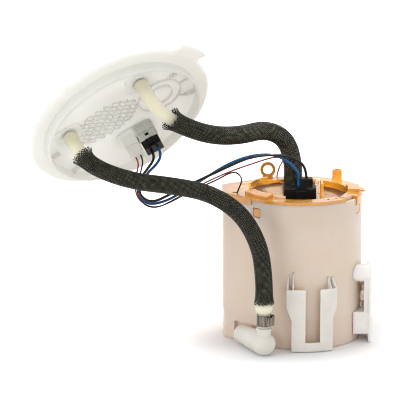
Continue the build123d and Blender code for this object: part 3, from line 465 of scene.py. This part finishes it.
hose_nylon = moulded("hose_nylon", linear(234, 230, 208), linear(226, 221, 196), 0.34, edge=0.0001,
                     Subsurface_Weight=0.8, Subsurface_Scale=0.006, Subsurface_Radius=MILKY)
strand = glinted_strand_material()
hose("return", RETURN_HOSE, sleeve_span=(0.0218, 0.2446), flares=(0.0029, 0.0014),
     radius=RETURN_SLEEVE_RADIUS, seed=4)
hose("supply", SUPPLY_HOSE, sleeve_span=(0.0405, 0.2045), flares=(0.0029, 0.0),
     radius=SUPPLY_SLEEVE_RADIUS, seed=9)
# Above the clamp the return hose bulges over its last barb.
SWELL_START = 0.2436
SWELL_SPACING = 0.001
SWELL_SIDES = 48
SWELL_RADII = (0.0050, 0.0060, 0.0067, 0.0071, 0.0073, 0.0074, 0.0074, 0.0072, 0.0068, 0.0060, 0.0051)
bulge = swell("return_tube_swell", RETURN_HOSE, SWELL_START, SWELL_RADII, SWELL_SPACING)
paint(bulge, hose_nylon)
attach(bulge, "module")

# ---------------------------------------------------------------- lead wires
# Four insulated wires run from the plugs under the flange: a thick blue and black pair to the pump's plug,
# and a thin red and black pair over the cover and down the back of the pot to the level sender.
BLUE_LEAD = [
    (-0.12, 0.0064, 0.1619), (-0.1166, 0.0012, 0.1568), (-0.12, 0.0012, 0.1485),
    (-0.1305, 0.002, 0.1385), (-0.137, 0.002, 0.122), (-0.129, 0.002, 0.112),
    (-0.113, 0.0015, 0.1155), (-0.098, 0.001, 0.1245), (-0.08, 0, 0.136),
    (-0.062, -0.002, 0.148), (-0.043, -0.005, 0.1565), (-0.022, -0.0075, 0.1585),
    (-0.009, -0.007, 0.1515), (-0.001, -0.0058, 0.142), (-0.0006, -0.0046, 0.1355),
    (-0.0006, -0.0046, 0.13),
]
BLACK_LEAD = [
    (-0.1252, 0.0058, 0.1591), (-0.1219, 0.0006, 0.154), (-0.1275, -0.003, 0.146),
    (-0.135, -0.002, 0.136), (-0.1365, -0.002, 0.122), (-0.125, -0.0025, 0.1145),
    (-0.108, -0.003, 0.1235), (-0.086, -0.004, 0.1345), (-0.064, -0.006, 0.1455),
    (-0.043, -0.009, 0.156), (-0.022, -0.0115, 0.159), (-0.008, -0.011, 0.157),
    (0.002, -0.0075, 0.1505), (0.0054, -0.0052, 0.1435), (0.006, -0.0045, 0.137),
]
RED_LEAD = [
    (-0.1385, 0.005, 0.1528), (-0.1359, 0.0011, 0.149), (-0.1375, 0.002, 0.1415),
    (-0.14, 0.006, 0.1285), (-0.137, 0.007, 0.1145), (-0.122, 0.007, 0.1075),
    (-0.105, 0.007, 0.1165), (-0.086, 0.007, 0.1275), (-0.062, 0.01, 0.1385),
    (-0.04, 0.019, 0.1445), (-0.02, 0.031, 0.1485), (-0.011, 0.043, 0.144),
    (-0.0155, 0.0555, 0.134), (-0.018, 0.0595, 0.12), (-0.014, 0.06, 0.106),
    (-0.003, 0.062, 0.091), (0.011, 0.0615, 0.074), (0.025, 0.057, 0.057),
    (0.038, 0.048, 0.041), (0.047, 0.0355, 0.028), (0.054, 0.024, 0.022),
    (0.0568, 0.0155, 0.024), (0.0568, 0.0085, 0.024),
]
THIN_BLACK_LEAD = [
    (-0.1346, 0.0055, 0.1549), (-0.1321, 0.0016, 0.1511), (-0.134, -0.0035, 0.143),
    (-0.1375, -0.0065, 0.1325), (-0.1365, -0.007, 0.119), (-0.125, -0.007, 0.1105),
    (-0.109, -0.007, 0.1165), (-0.092, -0.0075, 0.1265), (-0.072, -0.008, 0.135),
    (-0.055, -0.0075, 0.1445), (-0.048, -0.011, 0.138), (-0.051, -0.0145, 0.131),
    (-0.0545, -0.014, 0.1225), (-0.0545, -0.0095, 0.113), (-0.054, 0.003, 0.107),
    (-0.054, 0.017, 0.105), (-0.0555, 0.032, 0.1045), (-0.044, 0.0435, 0.1045),
    (-0.031, 0.053, 0.105), (-0.017, 0.0577, 0.103), (-0.004, 0.0596, 0.092),
    (0.01, 0.059, 0.0747), (0.024, 0.0546, 0.057), (0.0365, 0.046, 0.041),
    (0.0456, 0.0346, 0.0275), (0.053, 0.0245, 0.017), (0.0568, 0.0155, 0.0175),
    (0.0568, 0.0085, 0.0175),
]
THICK_WIRE = 0.0023
THIN_WIRE = 0.0013


def insulation(name, colour, shade):
    """Thin-wall cable insulation: smooth and a little waxy, with a faint drawn texture along it."""
    return moulded(name, colour, shade, 0.38, grain=0.00001, edge=0.00005, patch=140.0,
                   Specular_IOR_Level=0.3)


def lead(node_name, route, diameter, material):
    """One insulated wire as a curve on its route."""
    wire = spine(node_name + "_piece", route, diameter / 2)
    paint(wire, material)
    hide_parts(node_name)
    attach(wire, "module")
    return wire


blue_insulation = insulation("blue_insulation", linear(5, 80, 136), linear(3, 62, 110))
black_insulation = insulation("black_insulation", linear(14, 14, 16), linear(8, 8, 9))
red_insulation = insulation("red_insulation", linear(168, 62, 60), linear(142, 46, 46))
lead("blue_lead", BLUE_LEAD, THICK_WIRE, blue_insulation)
lead("black_lead", BLACK_LEAD, THICK_WIRE, black_insulation)
lead("red_sender_lead", RED_LEAD, THIN_WIRE, red_insulation)
lead("black_sender_lead", THIN_BLACK_LEAD, THIN_WIRE, black_insulation)

# ---------------------------------------------------------------- swirl pot
# Thin-walled injection moulding in natural acetal that fuel has tinted peach; light passes into the wall.
# It stands on the tank floor. Below the step round its foot the wall is painted a shade darker, as painted
# shade where the floor inside shows through the wall.
BASE_STEP_TOP = (0, 0, 0.0256)
STEP_FADE = 0.0006


def let_light_through(material, colour, share):
    """Gives a thin wall a share of light that comes through from its far side."""
    tree = material.node_tree
    shader = tree.nodes["Principled BSDF"]
    through = node(tree, "ShaderNodeBsdfTranslucent", {"Color": (*colour, 1)})
    mix = node(tree, "ShaderNodeMixShader", {0: share})
    tree.links.new(shader.outputs[0], mix.inputs[1])
    tree.links.new(through.outputs[0], mix.inputs[2])
    tree.links.new(mix.outputs[0], tree.nodes["Material Output"].inputs["Surface"])


def tint_from(material, origin, axis, start, end, colour):
    """Another colour beyond a plane through the origin, fading in between two distances along the axis."""
    tree = material.node_tree
    shader = tree.nodes["Principled BSDF"]
    away = node(tree, "ShaderNodeVectorMath", {1: origin}, operation="SUBTRACT")
    tree.links.new(coordinates(tree), away.inputs[0])
    along = node(tree, "ShaderNodeVectorMath", {1: axis}, operation="DOT_PRODUCT")
    tree.links.new(away.outputs[0], along.inputs[0])
    before = shader.inputs["Base Color"].links[0].from_socket
    tinted = blended(tree, spread(tree, along.outputs["Value"], start, end), before, colour)
    tree.links.new(tinted, shader.inputs["Base Color"])


pot_plastic = moulded("pot_plastic", linear(251, 224, 207), linear(249, 216, 196), 0.34, patch=22.0,
                      Subsurface_Weight=0.95, Subsurface_Scale=0.006, Subsurface_Radius=(1.0, 0.84, 0.74))
let_light_through(pot_plastic, linear(255, 234, 218), 0.16)
# Painted shade: the wall below the base step is darker, where the pot's inner floor shows through it.
tint_from(pot_plastic, BASE_STEP_TOP, (0, 0, -1), -STEP_FADE, STEP_FADE, linear(248, 218, 201))
paint(nodes["swirl_pot"], pot_plastic)

# ---------------------------------------------------------------- top cover
# Orange moulding that closes the pot's rim and leaves its mouth open; its top is glossier than the pot.
# Four legs snap it into the pot's windows, and a ring at the back lifts the whole module.
cover_plastic = moulded("cover_plastic", linear(220, 152, 48), linear(208, 137, 36), 0.24, patch=50.0,
                        Coat_Weight=0.8, Coat_Roughness=0.1)
paint(nodes["top_cover"], cover_plastic)

# ---------------------------------------------------------------- guide bracket and level sender
# The bracket is a curved U of white acetal on four fins, and a fitting in the tank slides up behind it.
# The sender's plate stands off the pot and holds a ceramic card; a steel arm carries the foam float.
bracket_plastic = moulded("bracket_plastic", linear(230, 227, 219), linear(221, 218, 209), 0.38,
                          Subsurface_Weight=0.7, Subsurface_Scale=0.006, Subsurface_Radius=MILKY)
sender_plastic = moulded("sender_plastic", linear(245, 243, 239), linear(237, 235, 230), 0.4,
                         Subsurface_Weight=0.6, Subsurface_Scale=0.005, Subsurface_Radius=MILKY)
card_ceramic = moulded("card_ceramic", linear(212, 214, 208), linear(196, 198, 192), 0.55)
hub_plastic = moulded("hub_plastic", linear(226, 222, 212), linear(212, 208, 198), 0.45)
float_foam = moulded("float_foam", linear(214, 207, 190), linear(198, 190, 172), 0.8, grain=0.0002,
                     patch=220.0)
paint(nodes["front_guide_bracket"], bracket_plastic)
paint(nodes["sender_holder"], sender_plastic)
paint(nodes["sender_card"], card_ceramic)
paint(nodes["sender_wiper"], hub_plastic)
paint(nodes["sender_float"], float_foam)


def metal(name, colour, shade, roughness, brush=(1, 1, 1), **sockets):
    """A metal with fine drawn or turned lines; brush stretches them."""
    made, tree, shader = plain(name, roughness, Metallic=1.0, **sockets)
    lines = cloud(tree, 4200.0, 3.0, 0.6, brush)
    tint = blended(tree, spread(tree, lines, *CLOUD_SPAN), shade, colour)
    tree.links.new(tint, shader.inputs["Base Color"])
    gloss = spread(tree, lines, *CLOUD_SPAN, roughness + GLOSSIER, roughness + DULLER)
    tree.links.new(gloss, shader.inputs["Roughness"])
    soft_edge = node(tree, "ShaderNodeBevel", {"Radius": 0.00015}, samples=4)
    tree.links.new(raised(tree, lines, 0.00001, 0.3, soft_edge.outputs["Normal"]), shader.inputs["Normal"])
    return made


wire_steel = metal("wire_steel", linear(196, 196, 192), linear(160, 160, 156), 0.28, (1, 0.05, 0.05))
paint(nodes["float_arm"], wire_steel)

# ---------------------------------------------------------------- jet pump elbow and clamp
# White acetal elbow with a turned brass jet inside; its barrel runs back to a pocket in the pot's foot.
# A thin stainless ear clamp, pinched shut, holds the return hose on its nipple.
elbow_plastic = moulded("elbow_plastic", linear(226, 223, 214), linear(214, 211, 201), 0.34,
                        Subsurface_Weight=0.7, Subsurface_Scale=0.006, Subsurface_Radius=MILKY)
paint(nodes["jet_pump_elbow"], elbow_plastic)
turned_brass = metal("turned_brass", linear(206, 178, 110), linear(176, 146, 84), 0.3, (0.1, 1, 1))
paint(nodes["jet_nozzle"], turned_brass)
# Its near-black streaks are painted dark reflections on the steel.
clamp_steel = metal("clamp_steel", linear(140, 133, 121), linear(26, 24, 22), 0.22, (0.3, 0.3, 0.02))
paint(nodes["hose_clamp"], clamp_steel)

# ---------------------------------------------------------------- tank flange
# Natural acetal disc that closes the tank's opening, milky enough to let light through from its far side.
# Two yellowed nylon ports are set in it, each a quick-connect spigot on top and a barb for a hose below.
flange_plastic = moulded("flange_plastic", linear(240, 239, 234), linear(234, 233, 226), 0.36, edge=0.0007,
                         patch=30.0, Subsurface_Weight=1.0, Subsurface_Scale=0.01,
                         Subsurface_Radius=(1.0, 0.98, 0.93))
let_light_through(flange_plastic, linear(252, 251, 246), 0.2)
paint(nodes["flange_disc"], flange_plastic)
port_nylon = moulded("port_nylon", linear(243, 239, 219), linear(236, 232, 209), 0.34,
                     Subsurface_Weight=0.7, Subsurface_Scale=0.006, Subsurface_Radius=MILKY)
for port in ("supply_nipple", "return_nipple"):
    paint(nodes[port], port_nylon)

# ---------------------------------------------------------------- plugs and sockets
# Glass-filled socket through the flange, grey round the pump's leads and white round the sender's, with
# tinned blades. A black and a white plug hang in it, and a black one with its own latch sits on the pump.
FLANGE_CENTRE = (-0.1519, 0, 0.1895)
FLANGE_X = (0.870, 0.107, 0.481)
GREY_ENDS = 0.006
WHITE_STARTS = 0.002
socket_plastic = moulded("socket_plastic", linear(212, 212, 204), linear(198, 198, 190), 0.46)
black_plastic = moulded("black_plastic", linear(14, 12, 10), linear(8, 7, 7), 0.4, Specular_IOR_Level=0.2)
white_plastic = moulded("white_plastic", linear(244, 241, 234), linear(235, 232, 223), 0.42)
tint_from(socket_plastic, FLANGE_CENTRE, FLANGE_X, GREY_ENDS, WHITE_STARTS, linear(244, 243, 237))
paint(nodes["flange_socket"], socket_plastic)
paint(nodes["pump_lead_plug"], black_plastic)
paint(nodes["sender_lead_plug"], white_plastic)
paint(nodes["pump_plug"], black_plastic)
paint(nodes["pump_plug_latch"], black_plastic)
tinned = metal("tinned", linear(206, 204, 198), linear(176, 174, 168), 0.3)
paint(nodes["socket_pins"], tinned)

# ---------------------------------------------------------------- pump and its holder
# Drawn steel casing between dark moulded ends, with magnets, a wound armature, brushes and a turbine inside.
# A rubber foot carries it clear of the strainer and valve on the pot's floor; a sprung holder steadies it.
casing_steel = metal("casing_steel", linear(186, 186, 182), linear(158, 158, 154), 0.32, (0.15, 0.15, 1))
ferrite = moulded("ferrite", linear(70, 70, 72), linear(52, 52, 54), 0.6)
pump_plastic = moulded("pump_plastic", linear(60, 54, 48), linear(44, 40, 36), 0.45)
core_steel = metal("core_steel", linear(130, 130, 130), linear(96, 96, 96), 0.45, (0.02, 0.02, 3))
copper = metal("copper", linear(196, 116, 72), linear(158, 84, 50), 0.35)
carbon = moulded("carbon", linear(44, 44, 44), linear(30, 30, 30), 0.7)
cradle_plastic = moulded("cradle_plastic", linear(247, 216, 190), linear(244, 206, 174), 0.36,
                         Subsurface_Weight=0.9, Subsurface_Scale=0.005, Subsurface_Radius=(1.0, 0.8, 0.6))
let_light_through(cradle_plastic, linear(255, 226, 204), 0.3)
black_rubber = moulded("black_rubber", linear(36, 36, 36), linear(24, 24, 24), 0.7, grain=0.00008)
mesh_nylon = moulded("mesh_nylon", linear(226, 226, 214), linear(208, 208, 194), 0.5, grain=0.0002,
                     patch=300.0)
FINISHES = {
    "pump_casing": casing_steel, "pump_magnets": ferrite, "pump_base": pump_plastic,
    "pump_guide": pump_plastic, "impeller": pump_plastic, "rotor_shaft": casing_steel,
    "armature": core_steel, "armature_windings": copper, "commutator": copper, "carbon_brushes": carbon,
    "brush_springs": wire_steel, "pump_end_cap": pump_plastic, "outlet_valve": turned_brass,
    "outlet_valve_spring": wire_steel, "pump_cradle": cradle_plastic, "pump_rubber": black_rubber,
    "strainer": mesh_nylon, "foot_valve": black_rubber,
}
for piece, finish in FINISHES.items():
    paint(nodes[piece], finish)
